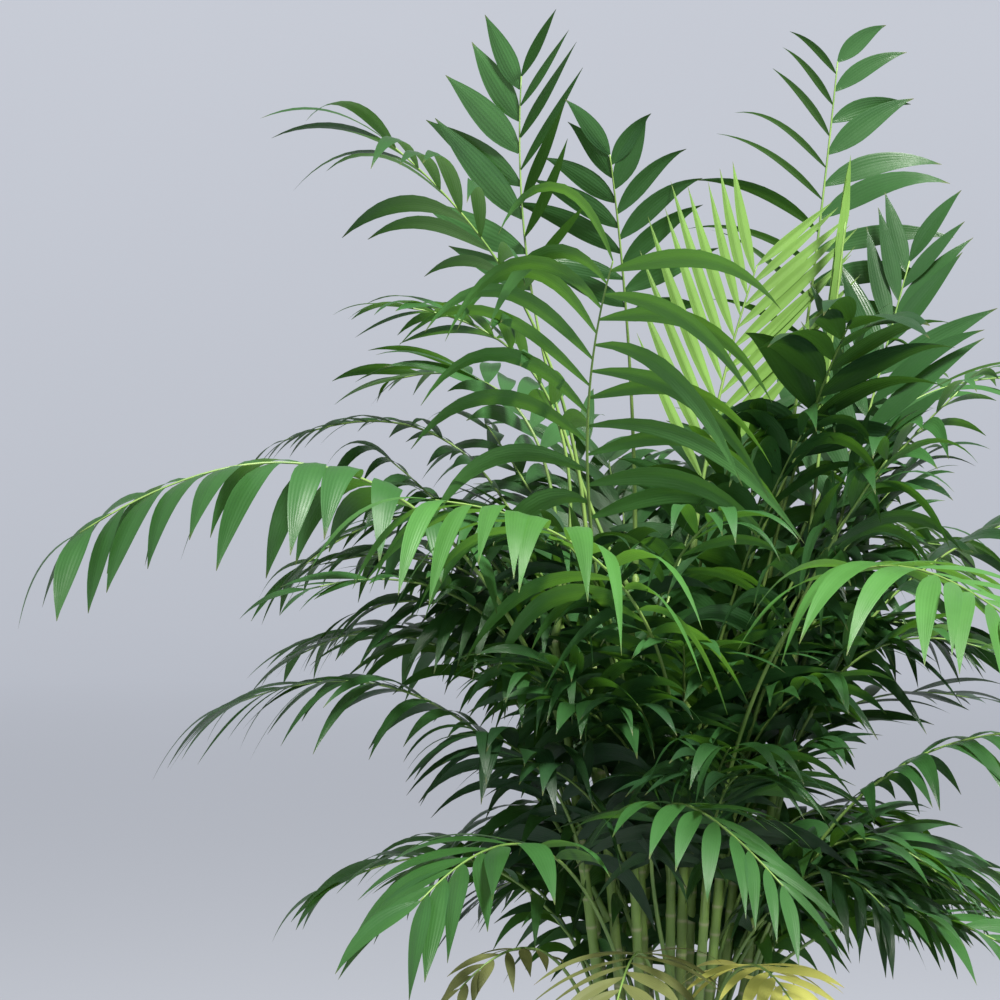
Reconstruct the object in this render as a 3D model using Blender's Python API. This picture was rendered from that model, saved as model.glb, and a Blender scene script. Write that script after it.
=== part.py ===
"""A bamboo palm in a plain round pot: a clump of thin canes that carry arching, feathery fronds.

Units are metres, +Z is up and the pot's flat underside stands at the origin. Headings are in
degrees, anticlockwise from +X as seen from above; the plant's front faces -Y.
"""

import math
from dataclasses import dataclass
from typing import Optional

import bmesh
import bpy
import numpy as np
from mathutils import Vector
from mathutils.bvhtree import BVHTree
from mathutils.geometry import intersect_ray_tri

# Pot and potting mix
POT_HEIGHT = 0.250
POT_FOOT_RADIUS = 0.108
POT_RIM_RADIUS = 0.146
POT_WALL = 0.009
POT_LIP_DEPTH = 0.028
POT_LIP_PROUD = 0.005
POT_EDGE = 0.003
POT_RIM_EDGE = 0.002
POT_SEGMENTS = 40
POT_COLOUR = (0.52, 0.50, 0.47)
POT_ROUGHNESS = 0.55
SOIL_TOP = 0.220
SOIL_CHAMFER = 0.004
SOIL_COLOUR = (0.05, 0.035, 0.022)
SOIL_ROUGHNESS = 0.95
GAP = 0.0003
MERGE = 0.00001

# Canes: a clump on a spiral, leaning out from its middle
CANE_HEIGHTS = (0.78, 0.74, 0.56, 0.70, 0.72, 0.62, 0.76, 0.62, 0.72, 0.72, 0.52, 0.66, 0.70, 0.70)
CANE_RING = 0.060
CANE_LEAN = 0.15
CANE_FOOT_RADIUS = 0.0058
CANE_TOP_RADIUS = 0.0038
CANE_SIDES = 6
CANE_STEPS = 5
CANE_POINT = 0.006
CANE_COLOUR = (0.16, 0.26, 0.06)
CANE_ROUGHNESS = 0.45
GOLDEN_ANGLE = 137.5

# Fronds: a bare stalk, then a blade whose edges join the tips of the leaflets
STALK_STEPS = 4
BLADE_STEPS = 8
CURVE_SAMPLES = 200
STALK_HALF = 0.0022
STALK_FOOT_SHARE = 0.55
SEAT = 0.0006
FROND_THICKNESS = 0.005
RIDGE_FROM = 0.35
RIDGE_SPAN = 0.40
LEAFLET_HANG = 0.55
TAPER_FROM = 0.30
TIP_SHARE = 0.45
BASE_SHARE = 0.70
NOSE_SHARE = 0.30
FROND_ROUGHNESS = 0.40
FROND_COLOURS = {
    "leaf": (0.055, 0.15, 0.045),
    "young": (0.20, 0.36, 0.07),
    "old": (0.13, 0.16, 0.05),
    "dying": (0.45, 0.48, 0.11),
}

# Clearing the fronds from each other
CLEAR = 0.0002
ROD_CLEAR = 0.0045
TURN_STEP = 1.5
TURN_TRIES = 24
TRIM_SWEEPS = 80
TRIM_CUT = 0.92
TRIM_LEAST = 0.40
NEAR_MISS = 0.001


@dataclass(frozen=True)
class Frond:
    """One frond, or one mass of fronds, by the sizes of its arch and of its blade.

    It springs from the side of its cane at a height, or where that is None from the cane's tip.
    """

    name: str
    cane: int
    springs: Optional[float]
    heading: float
    reach: float
    crest_share: float
    crest_rise: float
    tip_rise: float
    leaflet: float = 0.15
    bare: float = 0.42
    open_base: float = 62.0
    open_tip: float = 30.0
    hang: float = 0.9
    sway: float = 0.0
    face: Optional[float] = None
    thickness: float = FROND_THICKNESS
    kind: str = "leaf"


# The fronds that show one by one, each sprung from a cane on its own side of the clump
FRONDS = (
    Frond("left_long", 12, 0.62, 205, 0.49, 0.62, 0.255, 0.19, leaflet=0.150, bare=0.34, hang=2.2, sway=0.02),
    Frond("left_low", 4, 0.42, 186, 0.37, 0.74, 0.24, 0.22, leaflet=0.150, bare=0.42, hang=1.3, sway=-0.02),
    Frond("low_left_near", 7, 0.32, 231, 0.33, 0.62, 0.20, 0.16, leaflet=0.145, bare=0.52, hang=0.8),
    Frond("low_centre_near", 2, 0.36, 284, 0.33, 0.58, 0.20, 0.14, leaflet=0.120, bare=0.45, sway=-0.05),
    Frond("right_near", 10, 0.50, 304, 0.41, 0.60, 0.28, 0.24, leaflet=0.190, bare=0.58, open_base=80, hang=1.1),
    Frond("top_left", 1, None, 186, 0.11, 0.90, 0.30, 0.52, leaflet=0.150, bare=0.60, hang=0.1, face=235),
    Frond("top_left_arched", 4, None, 206, 0.22, 0.50, 0.36, 0.46, leaflet=0.150, bare=0.62, hang=1.0),
    Frond("top_right", 8, None, 14, 0.08, 0.60, 0.30, 0.56, leaflet=0.150, bare=0.50, hang=0.3, face=270),
    Frond("top_centre", 6, None, 251, 0.09, 0.38, 0.27, 0.42, leaflet=0.125, bare=0.60, hang=0.3, face=270),
    Frond("young_fan", 0, None, 19, 0.07, 0.42, 0.16, 0.29, leaflet=0.200, bare=0.25, open_base=26,
          open_tip=26, hang=0.0, face=270, kind="young"),
    Frond("spear", 13, None, 14, 0.05, 0.50, 0.20, 0.41, leaflet=0.006, bare=0.50, hang=0.0, kind="young"),
    Frond("centre_near", 7, None, 264, 0.20, 0.50, 0.30, 0.43, leaflet=0.200, bare=0.42, open_base=80,
          hang=0.9, sway=-0.03, face=250),
    Frond("centre_left_near", 2, 0.50, 234, 0.38, 0.56, 0.29, 0.34, leaflet=0.160, bare=0.45, hang=1.3,
          sway=0.05),
    Frond("left_mid_upper", 9, 0.60, 178, 0.29, 0.70, 0.32, 0.30, leaflet=0.090, bare=0.50),
    Frond("left_mid", 4, 0.56, 177, 0.30, 0.70, 0.26, 0.21, leaflet=0.110, bare=0.42),
    Frond("left_mid_lower", 9, 0.46, 168, 0.30, 0.65, 0.25, 0.22, leaflet=0.120, bare=0.42),
    Frond("left_upper", 12, None, 192, 0.15, 0.50, 0.30, 0.32, leaflet=0.130, bare=0.50),
    Frond("left_upper_back", 9, None, 151, 0.19, 0.54, 0.24, 0.24, leaflet=0.140, bare=0.42),
    Frond("right_upright", 13, 0.62, 16, 0.13, 0.60, 0.28, 0.46, leaflet=0.140, bare=0.45, hang=0.3, face=250),
    Frond("right_broad", 5, None, 303, 0.18, 0.59, 0.33, 0.38, leaflet=0.140, bare=0.50, sway=0.03),
    Frond("right_high", 8, 0.62, 28, 0.34, 0.62, 0.33, 0.35, leaflet=0.160, bare=0.42),
    Frond("right_mid", 13, 0.52, 356, 0.32, 0.60, 0.28, 0.32, leaflet=0.150, bare=0.42),
    Frond("right_low", 13, 0.36, 344, 0.34, 0.67, 0.25, 0.25, leaflet=0.120, bare=0.45, hang=1.5),
    Frond("right_lowest", 5, 0.30, 335, 0.33, 0.65, 0.14, 0.10, leaflet=0.100, bare=0.40),
    Frond("right_lowest_back", 8, 0.32, 15, 0.38, 0.70, 0.14, 0.09, leaflet=0.110, bare=0.40),
    Frond("low_front_pale", 2, 0.27, 258, 0.32, 0.66, 0.15, 0.11, leaflet=0.110, bare=0.50, open_base=80),
    Frond("low_left_brown", 12, 0.28, 225, 0.20, 0.61, 0.13, 0.10, leaflet=0.060, bare=0.50, kind="old"),
    Frond("low_front_dying", 10, 0.27, 285, 0.27, 0.66, 0.14, 0.12, leaflet=0.090, bare=0.50, open_base=78,
          kind="dying"),
)


@dataclass(frozen=True)
class Tier:
    """A ring of fronds of one size, dealt out by heading from the canes on each side."""

    name: str
    canes: tuple
    headings: tuple
    springs: float
    reach: float
    crest_share: float
    crest_rise: float
    tip_rise: float
    leaflet: float
    thickness: float


# The rest of the crown: masses of several fronds each, on the right, the back and inside
MASS_BARE = 0.40
TIERS = (
    Tier("low_mass", (8, 11, 9, 13), (38, 80, 128, 358), 0.34, 0.33, 0.58, 0.19, 0.16, 0.120, 0.018),
    Tier("inner_mass", (7, 2, 5), (215, 262, 318), 0.40, 0.20, 0.50, 0.20, 0.25, 0.130, 0.020),
    Tier("middle_mass", (13, 3, 11, 1, 9), (12, 48, 86, 120, 156), 0.48, 0.38, 0.55, 0.30, 0.30, 0.150,
         0.022),
    Tier("upper_mass", (0, 3, 6, 1), (340, 62, 100, 140), 0.58, 0.27, 0.54, 0.27, 0.40, 0.150, 0.022),
)


def unit(vector: np.ndarray) -> np.ndarray:
    """Return the vector, or each row of an array of vectors, at length one."""
    return vector / np.linalg.norm(vector, axis=-1, keepdims=True)


def level(heading: float) -> np.ndarray:
    """Return the level direction of a heading."""
    turn = math.radians(heading)
    return np.array((math.cos(turn), math.sin(turn), 0.0))


def add_mesh(name: str, points: list, faces: list) -> bpy.types.Object:
    """Make one named object of points and faces, with its normals facing out."""
    mesh = bpy.data.meshes.new(name)
    shape = bmesh.new()
    corners = [shape.verts.new(point) for point in points]
    for face in faces:
        shape.faces.new([corners[index] for index in face])
    bmesh.ops.recalc_face_normals(shape, faces=shape.faces)
    shape.to_mesh(mesh)
    shape.free()
    item = bpy.data.objects.new(name, mesh)
    bpy.context.scene.collection.objects.link(item)
    return item


def dress(item: bpy.types.Object, colour: tuple, roughness: float) -> None:
    """Give the object its own Principled material."""
    material = bpy.data.materials.new(item.name)
    material.use_nodes = True
    shader = material.node_tree.nodes["Principled BSDF"]
    shader.inputs["Base Color"].default_value = (*colour, 1.0)
    shader.inputs["Roughness"].default_value = roughness
    shader.inputs["Metallic"].default_value = 0.0
    item.data.materials.append(material)


def turned(name: str, profile: list) -> bpy.types.Object:
    """Spin a profile of (radius, height) points, whose ends lie on the axis, into a solid."""
    mesh = bpy.data.meshes.new(name)
    shape = bmesh.new()
    corners = [shape.verts.new((radius, 0.0, height)) for radius, height in profile]
    edges = [shape.edges.new(pair) for pair in zip(corners, corners[1:])]
    bmesh.ops.spin(shape, geom=corners + edges, cent=(0.0, 0.0, 0.0), axis=(0.0, 0.0, 1.0),
                   angle=math.tau, steps=POT_SEGMENTS, use_merge=True, use_duplicate=False)
    bmesh.ops.remove_doubles(shape, verts=shape.verts, dist=MERGE)
    bmesh.ops.dissolve_degenerate(shape, dist=MERGE, edges=shape.edges)
    bmesh.ops.recalc_face_normals(shape, faces=shape.faces)
    shape.to_mesh(mesh)
    shape.free()
    item = bpy.data.objects.new(name, mesh)
    bpy.context.scene.collection.objects.link(item)
    return item


def pot_radius(height: float) -> float:
    """Return the outer radius of the pot's tapered wall, without the lip, at a height."""
    body_radius = POT_RIM_RADIUS - POT_LIP_PROUD
    return POT_FOOT_RADIUS + (body_radius - POT_FOOT_RADIUS) * height / POT_HEIGHT


def make_pot() -> bpy.types.Object:
    """Model the plain tapered pot, with its lip and its flat underside."""
    lip_foot = POT_HEIGHT - POT_LIP_DEPTH
    profile = [
        (0.0, 0.0),
        (pot_radius(0.0) - POT_EDGE, 0.0),
        (pot_radius(POT_EDGE), POT_EDGE),
        (pot_radius(lip_foot), lip_foot),
        (pot_radius(lip_foot) + POT_LIP_PROUD, lip_foot + POT_LIP_PROUD),
        (POT_RIM_RADIUS, POT_HEIGHT - POT_RIM_EDGE),
        (POT_RIM_RADIUS - POT_RIM_EDGE, POT_HEIGHT),
        (pot_radius(POT_HEIGHT) - POT_WALL + POT_RIM_EDGE, POT_HEIGHT),
        (pot_radius(POT_HEIGHT) - POT_WALL, POT_HEIGHT - POT_RIM_EDGE),
        (pot_radius(POT_WALL) - POT_WALL, POT_WALL),
        (0.0, POT_WALL),
    ]
    pot = turned("pot", profile)
    dress(pot, POT_COLOUR, POT_ROUGHNESS)
    return pot


def make_soil() -> bpy.types.Object:
    """Model the potting mix that fills the pot to a little under its rim."""
    floor = POT_WALL + GAP
    slack = POT_WALL + 2.0 * GAP
    profile = [
        (0.0, floor),
        (pot_radius(floor) - slack, floor),
        (pot_radius(SOIL_TOP - SOIL_CHAMFER) - slack, SOIL_TOP - SOIL_CHAMFER),
        (pot_radius(SOIL_TOP) - slack - SOIL_CHAMFER, SOIL_TOP),
        (0.0, SOIL_TOP),
    ]
    soil = turned("potting_mix", profile)
    dress(soil, SOIL_COLOUR, SOIL_ROUGHNESS)
    return soil


def cane_radius(index: int, height: float) -> float:
    """Return a cane's thickness, as a radius, at a height."""
    share = (height - SOIL_TOP) / (CANE_HEIGHTS[index] - SOIL_TOP)
    return CANE_FOOT_RADIUS + (CANE_TOP_RADIUS - CANE_FOOT_RADIUS) * share


def cane_point(index: int, height: float) -> np.ndarray:
    """Return the middle of a cane at a height."""
    share = math.sqrt((index + 0.5) / (len(CANE_HEIGHTS) - 0.5))
    out = CANE_RING * share + CANE_LEAN * share * (height - SOIL_TOP)
    point = level(GOLDEN_ANGLE * index) * out
    point[2] = height
    return point


def make_cane(index: int) -> bpy.types.Object:
    """Model one tapered, leaning cane from its flat foot on the potting mix to its blunt tip."""
    top = CANE_HEIGHTS[index]
    foot = SOIL_TOP + GAP
    points = []
    for step in range(CANE_STEPS + 1):
        height = foot + (top - foot) * step / CANE_STEPS
        middle = cane_point(index, height)
        for side in range(CANE_SIDES):
            spoke = level(GOLDEN_ANGLE * index + 360.0 * side / CANE_SIDES)
            points.append(middle + spoke * cane_radius(index, height))
    faces = [tuple(range(CANE_SIDES))]
    for step in range(CANE_STEPS):
        for side in range(CANE_SIDES):
            here = step * CANE_SIDES + side
            beside = step * CANE_SIDES + (side + 1) % CANE_SIDES
            faces.append((here, beside, beside + CANE_SIDES, here + CANE_SIDES))
    tip = len(points)
    points.append(cane_point(index, top + CANE_POINT))
    last = CANE_STEPS * CANE_SIDES
    for side in range(CANE_SIDES):
        faces.append((last + side, last + (side + 1) % CANE_SIDES, tip))
    cane = add_mesh(f"cane_{index + 1:02d}", points, faces)
    dress(cane, CANE_COLOUR, CANE_ROUGHNESS)
    return cane


class Blade:
    """The solid of one frond: a spine, and two wings that can be trimmed station by station."""

    def __init__(self, frond: Frond, turn: float = 0.0):
        self.frond = frond
        self.heading = frond.heading + turn
        self.spine = self.arch()
        self.along = unit(np.gradient(self.spine, axis=0))
        self.across, self.over = self.frame()
        self.wings = self.open_wings()
        self.trim = np.ones((2, len(self.spine)))

    def seat(self) -> np.ndarray:
        """Return the point just off the cane's face where the stalk springs."""
        frond = self.frond
        if frond.springs is None:
            return cane_point(frond.cane, CANE_HEIGHTS[frond.cane] + CANE_POINT + SEAT)
        off_corner = (self.heading - GOLDEN_ANGLE * frond.cane) % (360.0 / CANE_SIDES)
        off_face = math.radians(off_corner - 180.0 / CANE_SIDES)
        flat = cane_radius(frond.cane, frond.springs) * math.cos(math.pi / CANE_SIDES)
        return cane_point(frond.cane, frond.springs) + level(self.heading) * (flat / math.cos(off_face) + SEAT)

    def arch(self) -> np.ndarray:
        """Return the stations of the arch, evenly spaced on the stalk and again on the blade."""
        frond = self.frond
        out = level(self.heading)
        beside = level(self.heading + 90.0)
        lift = np.array((0.0, 0.0, 1.0))
        start = self.seat()
        crest = start + out * frond.reach * frond.crest_share + beside * frond.sway + lift * frond.crest_rise
        tip = start + out * frond.reach + lift * frond.tip_rise
        first = np.linalg.norm(crest - start)
        mid = first / (first + np.linalg.norm(tip - crest))
        pull = (crest - (1.0 - mid) ** 2 * start - mid ** 2 * tip) / (2.0 * mid * (1.0 - mid))
        t = np.linspace(0.0, 1.0, CURVE_SAMPLES)[:, None]
        curve = (1.0 - t) ** 2 * start + 2.0 * t * (1.0 - t) * pull + t ** 2 * tip
        run = np.concatenate(([0.0], np.cumsum(np.linalg.norm(np.diff(curve, axis=0), axis=1))))
        stalk = np.linspace(0.0, frond.bare, STALK_STEPS + 1)
        blade = np.linspace(frond.bare, 1.0, BLADE_STEPS + 1)[1:]
        marks = np.concatenate((stalk, blade)) * run[-1]
        return np.stack([np.interp(marks, run, curve[:, axis]) for axis in range(3)], axis=1)

    def frame(self) -> tuple:
        """Return, for each station, the direction across the frond and the one over its upper side."""
        frond = self.frond
        upper = np.array((0.0, 0.0, 1.0)) if frond.face is None else level(frond.face)
        across = unit(np.cross(self.along, upper))
        return across, np.cross(across, self.along)

    def open_wings(self) -> np.ndarray:
        """Return the untrimmed reach of both wings at each station, as vectors from the spine."""
        frond = self.frond
        wings = np.zeros((2, len(self.spine), 3))
        for station in range(len(self.spine)):
            share = (station - STALK_STEPS) / BLADE_STEPS
            for side in (0, 1):
                out = self.across[station] * (1.0 if side else -1.0)
                if share < 0.0:
                    wings[side, station] = out * self.stalk_half(station)
                    continue
                opening = math.radians(frond.open_base + (frond.open_tip - frond.open_base) * share)
                chord = self.along[station] * math.cos(opening) + out * math.sin(opening)
                chord = unit(chord - np.array((0.0, 0.0, LEAFLET_HANG * frond.hang)))
                wings[side, station] = chord * frond.leaflet * self.length_share(share)
        return wings

    def stalk_half(self, station: int) -> float:
        """Return half the stalk's thickness, which thins out towards its seat on the cane."""
        share = min(1.0, station / STALK_STEPS)
        return STALK_HALF * (STALK_FOOT_SHARE + (1.0 - STALK_FOOT_SHARE) * share)

    @staticmethod
    def length_share(share: float) -> float:
        """Return how long the leaflets are along the blade, as a share of the longest."""
        if share < TAPER_FROM:
            return BASE_SHARE + (1.0 - BASE_SHARE) * share / TAPER_FROM
        return 1.0 - (1.0 - TIP_SHARE) * (share - TAPER_FROM) / (1.0 - TAPER_FROM)

    def ridge_half(self, station: int) -> float:
        """Return half the blade's thickness on its spine."""
        if station <= STALK_STEPS:
            return self.stalk_half(station)
        share = (station - STALK_STEPS) / BLADE_STEPS
        body = 0.5 * self.frond.thickness * math.sin(math.pi * (RIDGE_FROM + RIDGE_SPAN * share))
        return max(body, STALK_HALF)

    def solid(self, wings: bool = True, margin: float = 0.0) -> tuple:
        """Return the points and the faces of the solid, and each face's station and side.

        Both faces of a wing are split along the same diagonal, from ridge to edge, so that the
        thin wedge between them stays open. Without its wings the solid is the slender rod of
        stalk and spine, grown by the margin.
        """
        points = [self.spine[0]]
        last = len(self.spine) - 1
        for station in range(1, last + 1):
            middle = self.spine[station]
            half = self.over[station] * (self.ridge_half(station) + margin)
            least = STALK_HALF + margin
            for side in (None, 0, None, 1):
                if side is None:
                    points.append(middle + half)
                    half = -half
                    continue
                reach = self.wings[side, station] * self.trim[side, station]
                if not wings or station <= STALK_STEPS or np.linalg.norm(reach) < least:
                    slim = self.stalk_half(station) + margin
                    reach = self.across[station] * (slim if side else -slim)
                points.append(middle + reach)
        nose = self.along[last] * self.frond.leaflet * NOSE_SHARE
        points.append(self.spine[last] + nose)
        faces = []
        marks = []
        for quarter in range(4):
            side = 0 if quarter in (0, 1) else 1
            beside = (quarter + 1) % 4
            faces.append((0, 1 + beside, 1 + quarter))
            marks.append((0, side))
            for station in range(1, last):
                near = 1 + 4 * (station - 1)
                far = near + 4
                ridge, edge = (quarter, beside) if quarter in (0, 2) else (beside, quarter)
                faces.append((near + ridge, near + edge, far + edge))
                faces.append((near + ridge, far + edge, far + ridge))
                marks.extend(((station, side), (station, side)))
            top = 1 + 4 * (last - 1)
            faces.append((top + quarter, top + beside, len(points) - 1))
            marks.append((last, side))
        return points, faces, marks


class Probe:
    """A solid's points, faces and search tree, for finding where it meets another."""

    def __init__(self, points: list, faces: list, marks: Optional[list] = None):
        self.points = [Vector(point) for point in points]
        self.faces = faces
        self.marks = marks
        self.tree = BVHTree.FromPolygons(self.points, faces, all_triangles=True, epsilon=CLEAR)
        corners = np.array(points)
        self.low = corners.min(axis=0) - CLEAR
        self.high = corners.max(axis=0) + CLEAR

    @classmethod
    def of(cls, blade: Blade, wings: bool = True, margin: float = 0.0) -> "Probe":
        """Return the probe of a blade, or of its rod alone."""
        return cls(*blade.solid(wings, margin))

    def near(self, other: "Probe") -> bool:
        """Return whether the two boxes meet."""
        return bool(np.all(self.low <= other.high) and np.all(other.low <= self.high))

    def pairs(self, other: "Probe") -> list:
        """Return the pairs of faces of the two solids that meet or nearly meet."""
        return self.tree.overlap(other.tree) if self.near(other) else []

    def triangle(self, face: int) -> list:
        """Return the three corners of a face."""
        return [self.points[index] for index in self.faces[face]]


def crossings(one: list, two: list) -> list:
    """Return the points where the edges of either triangle pass through the other."""
    found = []
    for edges_of, plane in ((one, two), (two, one)):
        for start, end in zip(edges_of, edges_of[1:] + edges_of[:1]):
            ray = end - start
            hit = intersect_ray_tri(*plane, ray, start, True)
            along = (hit - start).dot(ray) / ray.length_squared if hit is not None else -1.0
            if -NEAR_MISS <= along <= 1.0 + NEAR_MISS:
                found.append(hit)
    return found


def to_segment(point: np.ndarray, start: np.ndarray, end: np.ndarray) -> float:
    """Return the distance from a point to a segment."""
    run = end - start
    share = np.clip(np.dot(point - start, run) / max(np.dot(run, run), 1e-12), 0.0, 1.0)
    return float(np.linalg.norm(point - start - run * share))


def depth_share(blade: Blade, mark: tuple, point: Vector) -> float:
    """Return how far out on a wing a point lies, from 0 on the spine to 1 on the edge."""
    station, side = mark
    following = min(station + 1, len(blade.spine) - 1)
    place = np.array(point)
    edges = blade.spine + blade.wings[side] * blade.trim[side][:, None]
    inner = to_segment(place, blade.spine[station], blade.spine[following])
    outer = to_segment(place, edges[station], edges[following])
    return inner / max(inner + outer, 1e-9)


def cut(blade: Blade, mark: tuple, share: float) -> None:
    """Trim a wing at the two stations beside a face to a share of its reach."""
    station, side = mark
    for each in {station, min(station + 1, len(blade.spine) - 1)}:
        if each > STALK_STEPS:
            blade.trim[side, each] *= share


def solid_probe(item: bpy.types.Object) -> Probe:
    """Return the probe of a finished object, by its triangles."""
    item.data.calc_loop_triangles()
    points = [tuple(vertex.co) for vertex in item.data.vertices]
    return Probe(points, [tuple(triangle.vertices) for triangle in item.data.loop_triangles])


def place(fronds: list, fixed: list) -> list:
    """Turn each frond a little about its cane, in even steps, until its rod is clear of the rest."""
    blades = []
    rods = []
    for frond in fronds:
        for attempt in range(TURN_TRIES):
            turn = TURN_STEP * ((attempt + 1) // 2) * (1.0 if attempt % 2 else -1.0)
            blade = Blade(frond, turn)
            rod = Probe.of(blade, wings=False)
            wide = Probe.of(blade, wings=False, margin=ROD_CLEAR)
            free = not any(rod.pairs(other) for other in fixed)
            if free and not any(wide.pairs(other) for other in rods):
                break
        else:
            print("not clear:", frond.name)
        blades.append(blade)
        rods.append(rod)
    return blades


def trim_pair(blades: tuple, probes: tuple) -> bool:
    """Trim the wing that crosses the other nearer to its own edge, and tell if any was trimmed."""
    worst = {}
    for pair in probes[0].pairs(probes[1]):
        marks = [probes[which].marks[pair[which]] for which in (0, 1)]
        points = crossings(probes[0].triangle(pair[0]), probes[1].triangle(pair[1]))
        shares = [1.0, 1.0]
        for which in (0, 1):
            if points:
                shares[which] = min(depth_share(blades[which], marks[which], point) for point in points)
        which = 0 if shares[0] >= shares[1] else 1
        key = (which, marks[which])
        worst[key] = min(worst.get(key, 1.0), shares[which])
    for (which, mark), share in worst.items():
        cut(blades[which], mark, max(share, TRIM_LEAST) * TRIM_CUT)
    return bool(worst)


def trim_fixed(blade: Blade, probe: Probe, other: Probe) -> bool:
    """Trim a blade's wings back from a cane or the pot, and tell if any was trimmed."""
    marks = {probe.marks[face] for face, _ in probe.pairs(other)}
    for mark in marks:
        cut(blade, mark, TRIM_CUT * TRIM_CUT)
    return bool(marks)


def trim_all(blades: list, fixed: list) -> None:
    """Trim wings in sweeps until no solid meets another."""
    probes = [Probe.of(blade) for blade in blades]
    changed = set(range(len(blades)))
    for _ in range(TRIM_SWEEPS):
        moved = set()
        for first in range(len(blades)):
            if first in changed:
                for other in fixed:
                    if trim_fixed(blades[first], probes[first], other):
                        moved.add(first)
            for second in range(first + 1, len(blades)):
                if first not in changed and second not in changed:
                    continue
                pair = (blades[first], blades[second])
                if trim_pair(pair, (probes[first], probes[second])):
                    moved.update((first, second))
        if not moved:
            return
        for index in moved:
            probes[index] = Probe.of(blades[index])
        changed = moved
    print("still meeting:", sorted(blades[index].frond.name for index in changed))


def tier_fronds() -> list:
    """Return the masses of each tier, from the tier's sizes and headings."""
    fronds = []
    for tier in TIERS:
        for number, (cane, heading) in enumerate(zip(tier.canes, tier.headings)):
            fronds.append(Frond(f"{tier.name}_{number + 1}", cane, tier.springs, heading, tier.reach,
                                tier.crest_share, tier.crest_rise, tier.tip_rise, leaflet=tier.leaflet,
                                bare=MASS_BARE, thickness=tier.thickness))
    return fronds


def make_frond(blade: Blade) -> bpy.types.Object:
    """Make the object of one placed and trimmed frond."""
    points, faces, _ = blade.solid()
    prefix = "" if "mass" in blade.frond.name else "frond_"
    item = add_mesh(prefix + blade.frond.name, points, faces)
    dress(item, FROND_COLOURS[blade.frond.kind], FROND_ROUGHNESS)
    return item


def main() -> None:
    """Build the whole plant in its pot."""
    for item in list(bpy.data.objects):
        bpy.data.objects.remove(item, do_unlink=True)
    fixed = [make_pot(), make_soil()] + [make_cane(index) for index in range(len(CANE_HEIGHTS))]
    obstacles = [solid_probe(item) for item in fixed]
    blades = place(list(FRONDS) + tier_fronds(), obstacles)
    trim_all(blades, obstacles)
    for blade in blades:
        make_frond(blade)


main()
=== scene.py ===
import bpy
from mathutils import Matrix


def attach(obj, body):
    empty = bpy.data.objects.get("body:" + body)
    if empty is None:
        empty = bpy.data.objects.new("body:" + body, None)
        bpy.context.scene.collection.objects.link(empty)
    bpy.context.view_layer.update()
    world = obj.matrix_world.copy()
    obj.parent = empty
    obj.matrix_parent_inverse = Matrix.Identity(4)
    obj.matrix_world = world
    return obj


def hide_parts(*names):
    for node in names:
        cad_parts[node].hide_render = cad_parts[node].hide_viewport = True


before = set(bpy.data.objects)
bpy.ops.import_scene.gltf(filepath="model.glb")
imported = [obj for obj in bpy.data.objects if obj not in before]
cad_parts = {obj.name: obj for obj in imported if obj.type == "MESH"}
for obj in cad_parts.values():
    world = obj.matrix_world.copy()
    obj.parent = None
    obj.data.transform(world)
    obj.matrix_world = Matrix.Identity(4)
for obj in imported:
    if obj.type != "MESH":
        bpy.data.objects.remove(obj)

"""The looks of a potted bamboo palm: leaflets, ribs, ringed canes, potting mix and a plain pot."""

import logging
import math
from dataclasses import dataclass, field
from enum import Enum
from typing import Dict, List, Optional, Sequence, Tuple, Union

import bpy
import numpy as np
from mathutils import Vector

LOG = logging.getLogger("palm")
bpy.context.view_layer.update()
SEED = 20
UP = np.array((0.0, 0.0, 1.0))
FRONT = np.array((0.0, -1.0, 0.0))
UPRIGHT = 0.3
STALK_RINGS = 4
LEAF_ROWS = 13
LEAF_COLUMNS = 7
LEAF_TIP = 0.02
HUB_SHARE = 0.02
NEAR_NOTHING = 1e-5

Value = Union[float, "Channel"]


def unit(vectors: np.ndarray) -> np.ndarray:
    """Return the vector, or each row of an array of vectors, at length one."""
    return vectors / np.maximum(np.linalg.norm(vectors, axis=-1, keepdims=True), 1e-12)


def run_along(points: np.ndarray) -> np.ndarray:
    """Return how far along a line of points each of them lies."""
    return np.concatenate(([0.0], np.cumsum(np.linalg.norm(np.diff(points, axis=0), axis=1))))


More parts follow.
